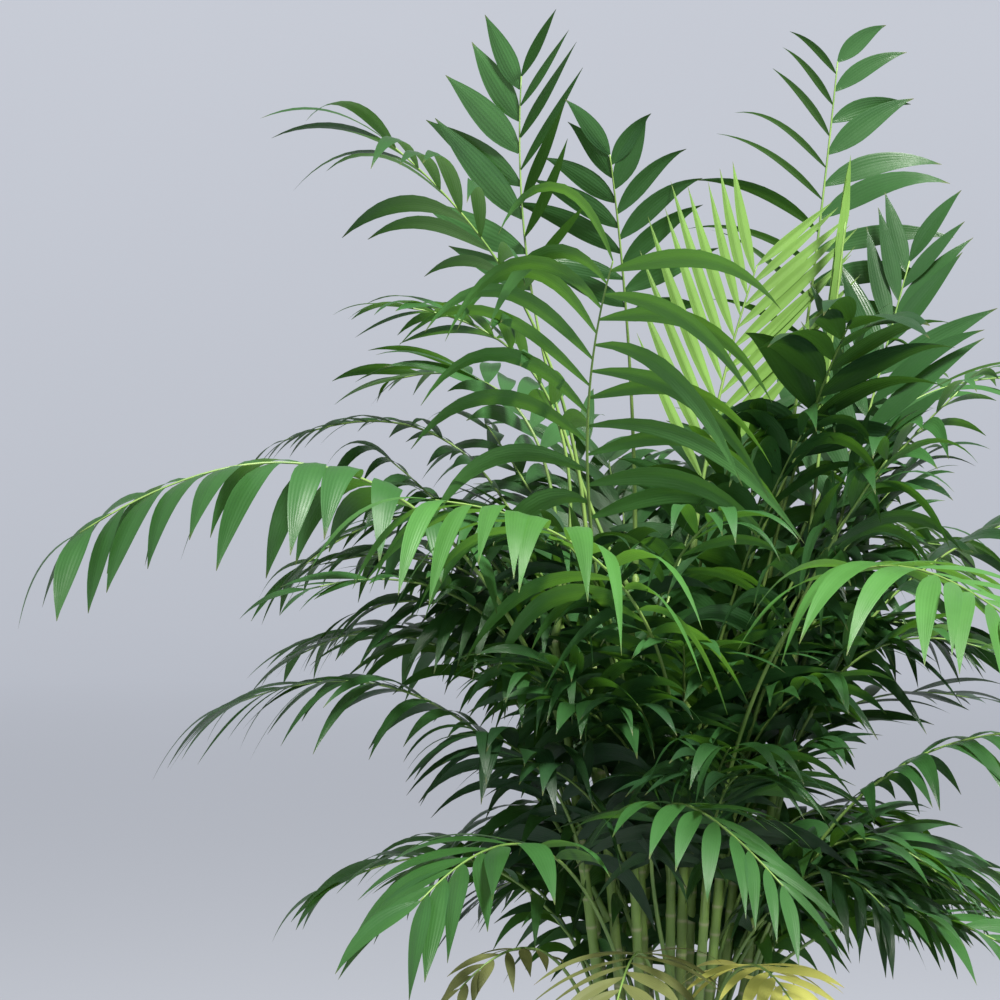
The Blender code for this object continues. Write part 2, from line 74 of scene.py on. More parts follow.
class Channel:
    """A shader socket that can stand in an arithmetic expression."""

    def __init__(self, tree: bpy.types.NodeTree, socket: bpy.types.NodeSocket):
        """Wrap one output socket of a node tree."""
        self.tree = tree
        self.socket = socket

    def _math(self, operation: str, first: Value, second: Value = 0.0) -> "Channel":
        """Add one Math node.

        Args:
            operation: The Math node's operation.
            first: Its first value.
            second: Its second value.

        Returns:
            The node's output.
        """
        node = self.tree.nodes.new("ShaderNodeMath")
        node.operation = operation
        for slot, value in zip(node.inputs, (first, second)):
            if isinstance(value, Channel):
                self.tree.links.new(value.socket, slot)
            else:
                slot.default_value = value
        return Channel(self.tree, node.outputs[0])

    def __add__(self, other: Value) -> "Channel":
        """Return self + other."""
        return self._math("ADD", self, other)

    def __radd__(self, other: Value) -> "Channel":
        """Return other + self."""
        return self._math("ADD", other, self)

    def __sub__(self, other: Value) -> "Channel":
        """Return self - other."""
        return self._math("SUBTRACT", self, other)

    def __rsub__(self, other: Value) -> "Channel":
        """Return other - self."""
        return self._math("SUBTRACT", other, self)

    def __mul__(self, other: Value) -> "Channel":
        """Return self * other."""
        return self._math("MULTIPLY", self, other)

    def __rmul__(self, other: Value) -> "Channel":
        """Return other * self."""
        return self._math("MULTIPLY", other, self)

    def __pow__(self, other: Value) -> "Channel":
        """Return self to a power."""
        return self._math("POWER", self, other)

    def cosine(self) -> "Channel":
        """Return the cosine, of radians."""
        return self._math("COSINE", self)

    def clamped(self) -> "Channel":
        """Return the value held between 0 and 1."""
        return self._math("MINIMUM", self._math("MAXIMUM", self, 0.0), 1.0)


class Shading:
    """One material's node tree, with the few kinds of node that the finishes use."""

    def __init__(self, name: str):
        """Make a material with a bare Principled shader."""
        self.material = bpy.data.materials.new(name)
        self.material.use_nodes = True
        self.tree = self.material.node_tree
        self.shader = self.tree.nodes["Principled BSDF"]

    def node(self, kind: str, settings: Optional[dict] = None,
             **sockets: object) -> bpy.types.Node:
        """Add any node.

        Args:
            kind: The node's type.
            settings: Its properties, set before its sockets.
            sockets: Values or links by socket name, with _ for a space.

        Returns:
            The new node.
        """
        made = self.tree.nodes.new(kind)
        for key, value in (settings or {}).items():
            setattr(made, key, value)
        for key, value in sockets.items():
            self.put(made.inputs[key.replace("_", " ")], value)
        return made

    def put(self, slot: bpy.types.NodeSocket, value: object) -> None:
        """Set a socket to a number or colour, or link a channel or socket to it."""
        if isinstance(value, Channel):
            self.tree.links.new(value.socket, slot)
        elif isinstance(value, bpy.types.NodeSocket):
            self.tree.links.new(value, slot)
        else:
            slot.default_value = value

    def place(self) -> bpy.types.NodeSocket:
        """Return the piece's own Object coordinates."""
        return self.node("ShaderNodeTexCoord").outputs["Object"]

    def surface(self) -> Tuple[Channel, Channel]:
        """Return the two channels of the piece's UV map, across and along."""
        coordinates = self.node("ShaderNodeTexCoord").outputs["UV"]
        split = self.node("ShaderNodeSeparateXYZ", None, Vector=coordinates)
        return Channel(self.tree, split.outputs["X"]), Channel(self.tree, split.outputs["Y"])

    def noise(self, scale: float, detail: float = 3.0, rough: float = 0.5,
              vector: Optional[bpy.types.NodeSocket] = None) -> Channel:
        """Return a noise pattern on the object's coordinates, about 0 to 1."""
        made = self.node("ShaderNodeTexNoise", None, Vector=vector or self.place(), Scale=scale,
                         Detail=detail, Roughness=rough)
        return Channel(self.tree, made.outputs["Fac"])

    def mix(self, share: Value, first: object, second: object) -> bpy.types.NodeSocket:
        """Return one colour mixed into another by a share."""
        made = self.node("ShaderNodeMix", {"data_type": "RGBA"})
        self.put(made.inputs["Factor"], share)
        self.put(made.inputs["A"], first)
        self.put(made.inputs["B"], second)
        return made.outputs["Result"]

    def bump(self, height: Channel, distance: float, strength: float = 1.0) -> None:
        """Raise the shader's surface by a height channel."""
        made = self.node("ShaderNodeBump", None, Height=height, Distance=distance,
                         Strength=strength)
        self.put(self.shader.inputs["Normal"], made.outputs["Normal"])


def rgba(colour: Tuple[float, float, float],
         gain: float = 1.0) -> Tuple[float, float, float, float]:
    """Return a colour with its brightness changed and full alpha."""
    return tuple(min(1.0, part * gain) for part in colour) + (1.0,)


@dataclass(frozen=True)
class LeafFinish:
    """The waxy surface of a leaflet, with its parallel veins and its paler glow against light."""

    name: str
    colour: Tuple[float, float, float]
    glow: Tuple[float, float, float]
    gloss: float = 0.40
    veins: int = 7
    tip: Tuple[float, float, float] = (0.10, 0.10, 0.03)
    through: float = 0.22
    fine_veins: float = 5.0
    cloud_scale: float = 9.0
    speck_scale: float = 140.0
    dry_from: float = 0.93
    dry_steep: float = 14.0
    sheen: float = 0.42
    relief: float = 0.0004
    relief_strength: float = 0.40

    def build(self) -> bpy.types.Material:
        """Return the leaflet material."""
        made = Shading(self.name)
        across, along = made.surface()
        ribs = (across * (math.tau * self.veins)).cosine() * 0.5 + 0.5
        fine = (across * (math.tau * self.veins * self.fine_veins)).cosine() * 0.5 + 0.5
        cloud = made.noise(self.cloud_scale, 4.0)
        speck = made.noise(self.speck_scale, 2.0)
        base = made.mix((cloud * 1.9 - 0.45).clamped(),
                        rgba(self.colour, 0.72), rgba(self.colour, 1.30))
        base = made.mix((ribs ** 6.0) * 0.12, base, rgba(self.colour, 1.6))
        dry = ((along - self.dry_from) * self.dry_steep + (cloud - 0.5) * 1.4).clamped()
        base = made.mix(dry * 0.8, base, rgba(self.tip))
        made.put(made.shader.inputs["Base Color"], base)
        made.put(made.shader.inputs["Roughness"],
                 self.gloss + (cloud - 0.5) * 0.16 + (speck - 0.5) * 0.10)
        made.shader.inputs["Specular IOR Level"].default_value = self.sheen
        made.bump(ribs * 0.75 + fine * 0.25 + speck * 0.12, self.relief, self.relief_strength)
        glow = made.node("ShaderNodeBsdfTranslucent", None, Color=rgba(self.glow))
        blend = made.node("ShaderNodeMixShader")
        blend.inputs[0].default_value = self.through
        made.tree.links.new(made.shader.outputs[0], blend.inputs[1])
        made.tree.links.new(glow.outputs[0], blend.inputs[2])
        made.tree.links.new(blend.outputs[0], made.tree.nodes["Material Output"].inputs["Surface"])
        return made.material


@dataclass(frozen=True)
class StalkFinish:
    """The smooth green skin of a stalk or rib, a little streaked along its length."""

    name: str
    colour: Tuple[float, float, float]
    pale: Tuple[float, float, float]

    def build(self) -> bpy.types.Material:
        """Return the stalk material."""
        made = Shading(self.name)
        cloud = made.noise(22.0, 4.0)
        made.put(made.shader.inputs["Base Color"],
                 made.mix((cloud * 1.8 - 0.4).clamped(), rgba(self.colour), rgba(self.pale)))
        made.put(made.shader.inputs["Roughness"], 0.38 + cloud * 0.18)
        made.bump(made.noise(300.0, 2.0), 0.0003, 0.4)
        return made.material


@dataclass(frozen=True)
class CaneFinish:
    """The ringed skin of a cane: green, greyer and browner towards its foot, with pale scars."""

    name: str
    green: Tuple[float, float, float]
    brown: Tuple[float, float, float]
    scar: Tuple[float, float, float]

    def build(self) -> bpy.types.Material:
        """Return the cane material, whose UV map runs round and up the cane."""
        made = Shading(self.name)
        _, along = made.surface()
        cloud = made.noise(30.0, 5.0)
        ring = ((along * math.tau).cosine() * 0.5 + 0.5) ** 40.0
        low = (1.0 - along * 0.16 + (cloud - 0.5) * 0.9).clamped()
        base = made.mix(low, rgba(self.green), rgba(self.brown))
        base = made.mix((cloud * 1.6 - 0.6).clamped() * 0.5, base, rgba(self.green, 1.7))
        base = made.mix(ring * 0.85, base, rgba(self.scar))
        made.put(made.shader.inputs["Base Color"], base)
        made.put(made.shader.inputs["Roughness"], 0.42 + cloud * 0.2)
        made.bump(made.noise(260.0, 3.0), 0.0004, 0.5)
        return made.material


@dataclass(frozen=True)
class PotFinish:
    """Matt fired clay with a faint speckle."""

    name: str
    colour: Tuple[float, float, float]

    def build(self) -> bpy.types.Material:
        """Return the pot material."""
        made = Shading(self.name)
        cloud = made.noise(7.0, 5.0)
        grain = made.noise(420.0, 3.0, 0.7)
        base = made.mix((cloud * 1.6 - 0.3).clamped(),
                        rgba(self.colour, 0.90), rgba(self.colour, 1.07))
        base = made.mix(((grain - 0.60) * 9.0).clamped() * 0.35, base, rgba(self.colour, 0.55))
        made.put(made.shader.inputs["Base Color"], base)
        made.put(made.shader.inputs["Roughness"], 0.50 + cloud * 0.14 + grain * 0.08)
        made.bump(grain * 0.6 + made.noise(60.0, 3.0) * 0.8, 0.0006, 0.5)
        return made.material


@dataclass(frozen=True)
class SoilFinish:
    """Dark, damp potting mix."""

    name: str
    dark: Tuple[float, float, float]
    light: Tuple[float, float, float]

    def build(self) -> bpy.types.Material:
        """Return the potting mix material."""
        made = Shading(self.name)
        crumb = made.noise(170.0, 6.0, 0.65)
        made.put(made.shader.inputs["Base Color"],
                 made.mix((crumb * 2.4 - 0.8).clamped(), rgba(self.dark), rgba(self.light)))
        made.put(made.shader.inputs["Roughness"], 0.78 + crumb * 0.2)
        made.bump(crumb + made.noise(60.0, 4.0), 0.004, 0.8)
        return made.material


@dataclass(frozen=True)
class PaperFinish:
    """The matt sweep of floor and wall, of an even pale colour, glowing with painted light: darker
    on the floor round the middle, brighter out to the wall and up it.
    """

    name: str
    colour: Tuple[float, float, float]
    # Colours of the painted light that the sweep glows with: near the middle of the floor, at the
    # foot of the wall, at its top.
    low: Tuple[float, float, float]
    middle: Tuple[float, float, float]
    high: Tuple[float, float, float]
    # Strength of the painted light.
    glow: float = 1.0
    near: float = 1.0
    far: float = 12.0
    fade: float = 3.5

    def build(self) -> bpy.types.Material:
        """Return the backdrop material, with its painted light as emission."""
        made = Shading(self.name)
        cloud = made.noise(0.5, 2.0)
        made.put(made.shader.inputs["Base Color"],
                 made.mix(cloud * 0.5, rgba(self.colour), rgba(self.colour, 1.04)))
        made.put(made.shader.inputs["Roughness"], 0.85 + cloud * 0.1)
        made.shader.inputs["Specular IOR Level"].default_value = 0.1
        height = made.node("ShaderNodeSeparateXYZ", None, Vector=made.place()).outputs["Z"]
        length = made.node("ShaderNodeVectorMath", {"operation": "LENGTH"})
        made.put(length.inputs[0], made.place())
        # Painted light: the glow runs from the dim middle of the floor out to the wall, and
        # brightens up the wall.
        away = Channel(made.tree, length.outputs["Value"]) - self.near
        away = (away * (1.0 / (self.far - self.near))).clamped()
        rise = (Channel(made.tree, height) * (1.0 / self.fade) + (cloud - 0.5) * 0.2).clamped()
        wall = made.mix(rise, rgba(self.middle), rgba(self.high))
        made.put(made.shader.inputs["Emission Color"], made.mix(away, rgba(self.low), wall))
        made.shader.inputs["Emission Strength"].default_value = self.glow
        return made.material


class Tone(Enum):
    """The colour of a frond: either by its age, or as painted shade and painted light, with darker
    copies of the green for fronds in the crown's shade and a lighter copy for the front fronds
    under the key.
    """

    # Painted deep shade: a much darker copy of the green leaf, for fronds in the crown's deepest
    # shade.
    DEEP_SHADE = LeafFinish("leaf_painted_deep_shade", (0.015, 0.047, 0.017), (0.045, 0.13, 0.010), 0.34)
    # Painted shade: a darker copy of the green leaf, for fronds in the crown's shade.
    SHADE = LeafFinish("leaf_painted_shade", (0.022, 0.074, 0.020), (0.07, 0.20, 0.012), 0.35)
    GREEN = LeafFinish("leaf_green", (0.028, 0.096, 0.025), (0.11, 0.29, 0.018), 0.42)
    # Painted light: a lighter copy of the green leaf, for the front fronds under the key lamp.
    LIT = LeafFinish("leaf_painted_light", (0.048, 0.150, 0.032), (0.17, 0.40, 0.030), 0.43)
    YOUNG = LeafFinish(
        "leaf_young", (0.120, 0.235, 0.042), (0.24, 0.44, 0.045), 0.46, through=0.28)
    OLD = LeafFinish(
        "leaf_old", (0.110, 0.125, 0.040), (0.20, 0.20, 0.04), 0.55, tip=(0.16, 0.10, 0.04))
    DYING = LeafFinish(
        "leaf_dying", (0.430, 0.430, 0.100), (0.60, 0.55, 0.12), 0.50, tip=(0.30, 0.20, 0.07))


STALK = StalkFinish("stalk_green", (0.085, 0.170, 0.035), (0.20, 0.31, 0.07))
CANE = CaneFinish("cane_green", (0.165, 0.270, 0.055), (0.130, 0.120, 0.050), (0.34, 0.34, 0.19))
POT = PotFinish("pot_clay", (0.40, 0.385, 0.36))
SOIL = SoilFinish("potting_mix", (0.018, 0.012, 0.008), (0.075, 0.050, 0.033))
# The paper's colour, then its painted light: near the middle of the floor, at the foot of the
# wall, at its top.
PAPER = PaperFinish("backdrop_paper_painted_light", (0.22, 0.23, 0.25), (0.230, 0.242, 0.273),
                    (0.365, 0.382, 0.425), (0.445, 0.463, 0.510))


@dataclass(frozen=True)
class Habit:
    """How a frond carries its leaflets."""

    pairs: int = 10
    length: float = 0.145
    width: float = 0.021
    open_base: float = 64.0
    open_tip: float = 30.0
    droop: float = 1.0
    lift: float = 14.0
    taper: float = 0.55
    short_base: float = 0.72
    fold: float = 0.16
    wild: float = 1.0
    roll: float = 0.0
    slim: float = 1.0
    tone: Tone = Tone.GREEN


# Each frond's tone also paints its light: the darker tones put painted shade on fronds in the
# crown's shade, and the lighter one puts painted light on the front fronds.
HABITS: Dict[str, Habit] = {
    "frond_left_long": Habit(11, 0.155, 0.029, 70, 28, 3.2, 4, 0.68, wild=1.5, tone=Tone.GREEN),
    "frond_left_low": Habit(11, 0.165, 0.017, 46, 20, 1.6, 14, 0.72, tone=Tone.SHADE),
    "frond_low_left_near": Habit(8, 0.145, 0.025, 66, 22, 1.2, 8, 0.80, tone=Tone.GREEN),
    "frond_low_centre_near": Habit(10, 0.130, 0.018, 66, 26, 1.1, 8, 0.70, tone=Tone.GREEN),
    "frond_right_near": Habit(10, 0.205, 0.023, 84, 34, 1.4, 8, 0.46, tone=Tone.LIT),
    "frond_top_left": Habit(
        7, 0.145, 0.030, 54, 36, 0.15, 10, 0.62, roll=72.0, slim=0.42, tone=Tone.GREEN),
    "frond_top_left_arched": Habit(7, 0.175, 0.020, 60, 22, 1.3, 10, 0.80, tone=Tone.SHADE),
    "frond_top_right": Habit(
        9, 0.155, 0.025, 68, 34, 0.7, 6, 0.40, roll=-62.0, slim=0.6, tone=Tone.SHADE),
    "frond_top_centre": Habit(7, 0.120, 0.022, 66, 28, 0.6, 8, 0.55, tone=Tone.SHADE),
    "frond_young_fan": Habit(
        10, 0.215, 0.0125, 36, 32, 0.0, 4, 0.48, fold=0.50, wild=0.35, tone=Tone.YOUNG),
    "frond_centre_near": Habit(10, 0.235, 0.019, 74, 60, 1.9, 16, 0.70, tone=Tone.LIT),
    "frond_centre_left_near": Habit(
        11, 0.195, 0.022, 72, 34, 2.4, 4, 0.66, wild=1.3, tone=Tone.LIT),
    "frond_left_mid_upper": Habit(10, 0.095, 0.014, 60, 28, 1.2, 14, tone=Tone.SHADE),
    "frond_left_mid": Habit(10, 0.130, 0.016, tone=Tone.SHADE),
    "frond_left_mid_lower": Habit(10, 0.130, 0.015, tone=Tone.SHADE),
    "frond_right_broad": Habit(7, 0.145, 0.033, 56, 26, 1.0, 8, 0.8, tone=Tone.DEEP_SHADE),
    "frond_right_upright": Habit(9, 0.150, 0.022, 42, 26, 0.3, 14, tone=Tone.SHADE),
    "frond_right_high": Habit(10, 0.165, 0.021, tone=Tone.GREEN),
    "frond_right_mid": Habit(10, 0.150, 0.022, tone=Tone.DEEP_SHADE),
    "frond_right_low": Habit(11, 0.130, 0.018, 60, 26, 1.9, 8, tone=Tone.SHADE),
    "frond_low_front_pale": Habit(9, 0.110, 0.014, 80, 30, 0.8, 4, tone=Tone.OLD),
    "frond_low_left_brown": Habit(7, 0.065, 0.012, 60, 30, 0.9, 4, tone=Tone.OLD),
    "frond_low_front_dying": Habit(10, 0.095, 0.014, 76, 24, 0.9, 4, tone=Tone.DYING),
    "frond_spear": Habit(
        7, 0.085, 0.0085, 6, 3, 0.0, 78, 0.80, fold=0.4, wild=0.12, tone=Tone.YOUNG),
}


@dataclass(frozen=True)
class Spread:
    """How far the leaflets of a frond differ from one another."""

    opening: float = 5.0
    lift: float = 6.0
    length: float = 0.05
    width: float = 0.08
    twist: float = 16.0
    droop: Tuple[float, float] = (0.75, 1.3)
    bend: Tuple[float, float] = (0.9, 2.0)
    sweep: float = 0.10
    sweep_spread: float = 0.12


@dataclass(frozen=True)
class MassHabit:
    """The limits between which the fronds of a mass are drawn."""

    turn: float = 14.0
    turn_spread: float = 6.0
    reach: Tuple[float, float] = (0.50, 0.90)
    rise: Tuple[float, float] = (0.70, 1.02)
    lift: Tuple[float, float] = (-0.09, 0.03)
    inner_lift: Tuple[float, float] = (-0.02, 0.30)
    near_canes: int = 3
    pairs: int = 10
    length: Tuple[float, float] = (0.130, 0.185)
    width: Tuple[float, float] = (0.014, 0.022)
    droop: Tuple[float, float] = (0.7, 2.2)
    wild: float = 1.7
    bare: Tuple[float, float] = (0.16, 0.34)
    # Mostly painted shade, drawn at random: the mass fronds fill the inside of the crown.
    tones: Tuple[Tone, ...] = (Tone.DEEP_SHADE, Tone.SHADE, Tone.GREEN, Tone.GREEN)


MASS_FRONDS: Dict[str, int] = {"low": 8, "inner": 6, "middle": 6, "upper": 6}

OWN_SLOTS: Dict[str, Tuple[str, ...]] = {
    "young_fronds": ("frond_spear", "frond_young_fan"),
    "old_frond": ("frond_low_left_brown",),
    "dying_frond": ("frond_low_front_dying",),
}


@dataclass
class Arch:
    """A frond's spine, as points from its seat to its tip, and the way over each point."""

    points: np.ndarray
    over: np.ndarray
    bare: float

    @classmethod
    def of_node(cls, name: str) -> "Arch":
        """Read the rings of four corners that a frond's solid is built of.

        Args:
            name: The CAD node.

        Returns:
            Its arch, from the seat on the cane to the tip.
        """
        places, beside = welded(name)
        start = min(range(len(places)),
                    key=lambda each: np.linalg.norm(places[each][:2]) + places[each][2])
        rows = steps_from(beside, start)
        points = [places[start]]
        over = []
        for number, row in enumerate(rows[1:-1], start=1):
            if number == 1:
                ridge = [each for each in row if len(beside[each] & set(rows[2])) == 3]
            else:
                ridge = [each for each in row if len(beside[each] & set(rows[number - 1])) == 1]
            points.append(places[ridge].mean(axis=0))
            over.append(unit(places[ridge[0]] - places[ridge[1]]))
        ways = np.array([over[0]] + over)
        for number in range(1, len(ways)):
            if ways[number] @ ways[number - 1] < 0.0:
                ways[number] *= -1.0
        blade = ways[STALK_RINGS:].mean(axis=0)
        towards = UP if abs(blade[2]) > UPRIGHT else FRONT
        if blade @ towards < 0.0:
            ways = -ways
        spots = np.array(points)
        run = run_along(spots)
        return cls(spots, ways, run[STALK_RINGS] / run[-1]).smoothed()

    def smoothed(self, count: int = 41) -> "Arch":
        """Return the arch with its points evenly spaced on a smooth curve through them."""
        run = run_along(self.points)
        at = np.linspace(0.0, run[-1], count)
        slopes = np.gradient(self.points, run, axis=0)
        row = np.clip(np.searchsorted(run, at, side="right") - 1, 0, len(run) - 2)
        gap = (run[row + 1] - run[row])[:, None]
        t = ((at - run[row]) / (run[row + 1] - run[row]))[:, None]
        near, far = self.points[row], self.points[row + 1]
        points = ((2 * t ** 3 - 3 * t ** 2 + 1) * near
                  + (t ** 3 - 2 * t ** 2 + t) * gap * slopes[row]
                  + (3 * t ** 2 - 2 * t ** 3) * far
                  + (t ** 3 - t ** 2) * gap * slopes[row + 1])
        over = unit(self.over[row] * (1.0 - t) + self.over[row + 1] * t)
        return Arch(points, over, self.bare)

    def varied(self, seat: np.ndarray, turn: float, reach: float, rise: float) -> "Arch":
        """Return a like arch from another seat, turned in degrees and drawn out or lifted."""
        angle = math.radians(turn)
        spin = np.array(((math.cos(angle), math.sin(angle), 0.0),
                         (-math.sin(angle), math.cos(angle), 0.0),
                         (0.0, 0.0, 1.0)))
        points = (self.points - self.points[0]) @ spin * np.array((reach, reach, rise)) + seat
        return Arch(points, self.over @ spin, self.bare)


def welded(name: str) -> Tuple[np.ndarray, List[set]]:
    """Return a CAD node's corners, each once, and for each those that an edge joins to it."""
    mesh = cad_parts[name].data
    keys: Dict[tuple, int] = {}
    index = [keys.setdefault(tuple(round(part, 6) for part in vertex.co), len(keys))
             for vertex in mesh.vertices]
    beside: List[set] = [set() for _ in keys]
    for polygon in mesh.polygons:
        ring = [index[corner] for corner in polygon.vertices]
        for first, second in zip(ring, ring[1:] + ring[:1]):
            beside[first].add(second)
            beside[second].add(first)
    return np.array(list(keys)), beside


def steps_from(beside: List[set], start: int) -> List[List[int]]:
    """Return the corners in rows, by how many edges they are from the start."""
    rows = [[start]]
    seen = {start}
    while rows[-1]:
        following = sorted({near for here in rows[-1] for near in beside[here]} - seen)
        seen.update(following)
        rows.append(following)
    return rows[:-1]


class Sheaf:
    """Many small surfaces, gathered as arrays and joined into one mesh."""

    def __init__(self, name: str):
        """Start an empty mesh of that name."""
        self.name = name
        self.points: List[np.ndarray] = []
        self.faces: List[np.ndarray] = []
        self.maps: List[np.ndarray] = []
        self.slots: List[np.ndarray] = []
        self.count = 0

    def add_grid(self, grid: np.ndarray, across: np.ndarray, along: np.ndarray, slot: int,
                 closed: bool = False) -> None:
        """Add one surface of rows and columns.

        Args:
            grid: Its points, as rows by columns by three.
            across: The UV map's first channel, by column.
            along: Its second channel, by row.
            slot: The material's number.
            closed: Whether the last column joins the first.
        """
        rows, columns = grid.shape[:2]
        here = np.arange(rows * columns).reshape(rows, columns) + self.count
        after = np.roll(here, -1, axis=1) if closed else here[:, 1:]
        near = here if closed else here[:, :-1]
        faces = np.stack((near[:-1], after[:-1], after[1:], near[1:]), axis=-1).reshape(-1, 4)
        if closed:
            faces = np.concatenate((faces, self.cap(here[0])[:, ::-1], self.cap(here[-1])))
        uv = np.stack(np.broadcast_arrays(across[None, :], along[:, None]), axis=-1)
        uv = uv.reshape(-1, 2)
        self.points.append(grid.reshape(-1, 3))
        self.maps.append(uv)
        self.faces.append(faces)
        self.slots.append(np.full(len(faces), slot))
        self.count += rows * columns

    @staticmethod
    def cap(ring: np.ndarray) -> np.ndarray:
        """Return the quads, in a strip, that close a ring of an even number of corners."""
        count = len(ring)
        quads = [(step, step + 1, count - 2 - step, count - 1 - step)
                 for step in range(count // 2 - 1)]
        return ring[np.array(quads)]

    def triangles(self) -> int:
        """Return how many triangles the mesh will have."""
        return sum(2 * len(faces) for faces in self.faces)

    def build(self, materials: Sequence[bpy.types.Material]) -> bpy.types.Object:
        """Return the joined mesh as an object, smooth, with its UV map and materials."""
        points = np.concatenate(self.points)
        faces = np.concatenate(self.faces)
        uv = np.concatenate(self.maps)
        mesh = bpy.data.meshes.new(self.name)
        mesh.vertices.add(len(points))
        mesh.vertices.foreach_set("co", points.astype(np.float32).ravel())
        mesh.loops.add(faces.size)
        mesh.loops.foreach_set("vertex_index", faces.ravel().astype(np.int32))
        mesh.polygons.add(len(faces))
        mesh.polygons.foreach_set("loop_start", np.arange(0, faces.size, 4, dtype=np.int32))
        mesh.polygons.foreach_set("material_index", np.concatenate(self.slots).astype(np.int32))
        surface = mesh.uv_layers.new(name="Surface").data
        surface.foreach_set("uv", uv[faces.ravel()].astype(np.float32).ravel())
        mesh.shade_smooth()
        mesh.update(calc_edges=True)
        mesh.validate()
        for material in materials:
            mesh.materials.append(material)
        piece = bpy.data.objects.new(self.name, mesh)
        bpy.context.scene.collection.objects.link(piece)
        return piece


@dataclass
class Leaflet:
    """One leaflet: a lance-shaped, faintly channelled blade that bends over by its weight."""

    base: np.ndarray
    way: np.ndarray
    edge: np.ndarray
    length: float
    width: float
    droop: float
    twist: float
    fold: float
    bend: float
    sweep: float
    rows: int = LEAF_ROWS
    columns: int = LEAF_COLUMNS
    widest: float = 0.38
    foot: float = 0.14

    def outline(self, share: np.ndarray) -> np.ndarray:
        """Return half the blade's width along it, as a share of half the greatest width."""
        rising = self.foot + (1.0 - self.foot) * (1.0 - (1.0 - share / self.widest) ** 2)
        past = np.clip((share - self.widest) / (1.0 - self.widest), 0.0, 1.0)
        falling = (1.0 - past) ** 1.2 * (1.0 + 1.1 * past)
        return np.maximum(np.where(share < self.widest, rising, falling), LEAF_TIP)

    def grid(self) -> np.ndarray:
        """Return the blade's points, rows by columns."""
        share = np.linspace(0.0, 1.0, self.rows)
        ways = unit(self.way - UP * (self.droop * share ** self.bend)[:, None]
                    + self.edge * (self.sweep * share)[:, None])
        steps = (ways[1:] + ways[:-1]) * (0.5 * self.length / (self.rows - 1))
        middle = self.base + np.concatenate((np.zeros((1, 3)), np.cumsum(steps, axis=0)))
        sides = np.empty_like(ways)
        side = self.edge
        for row in range(self.rows):
            side = unit(side - ways[row] * (side @ ways[row]))
            sides[row] = side
        over = np.cross(ways, sides)
        turn = (self.twist * share)[:, None]
        sides, over = (sides * np.cos(turn) + over * np.sin(turn),
                       over * np.cos(turn) - sides * np.sin(turn))
        half = (0.5 * self.width * self.outline(share))[:, None, None]
        x = np.linspace(-1.0, 1.0, self.columns)[None, :, None]
        lift = self.fold * np.abs(x) * (1.0 - 0.35 * np.abs(x))
        return middle[:, None, :] + half * (sides[:, None, :] * x + over[:, None, :] * lift)


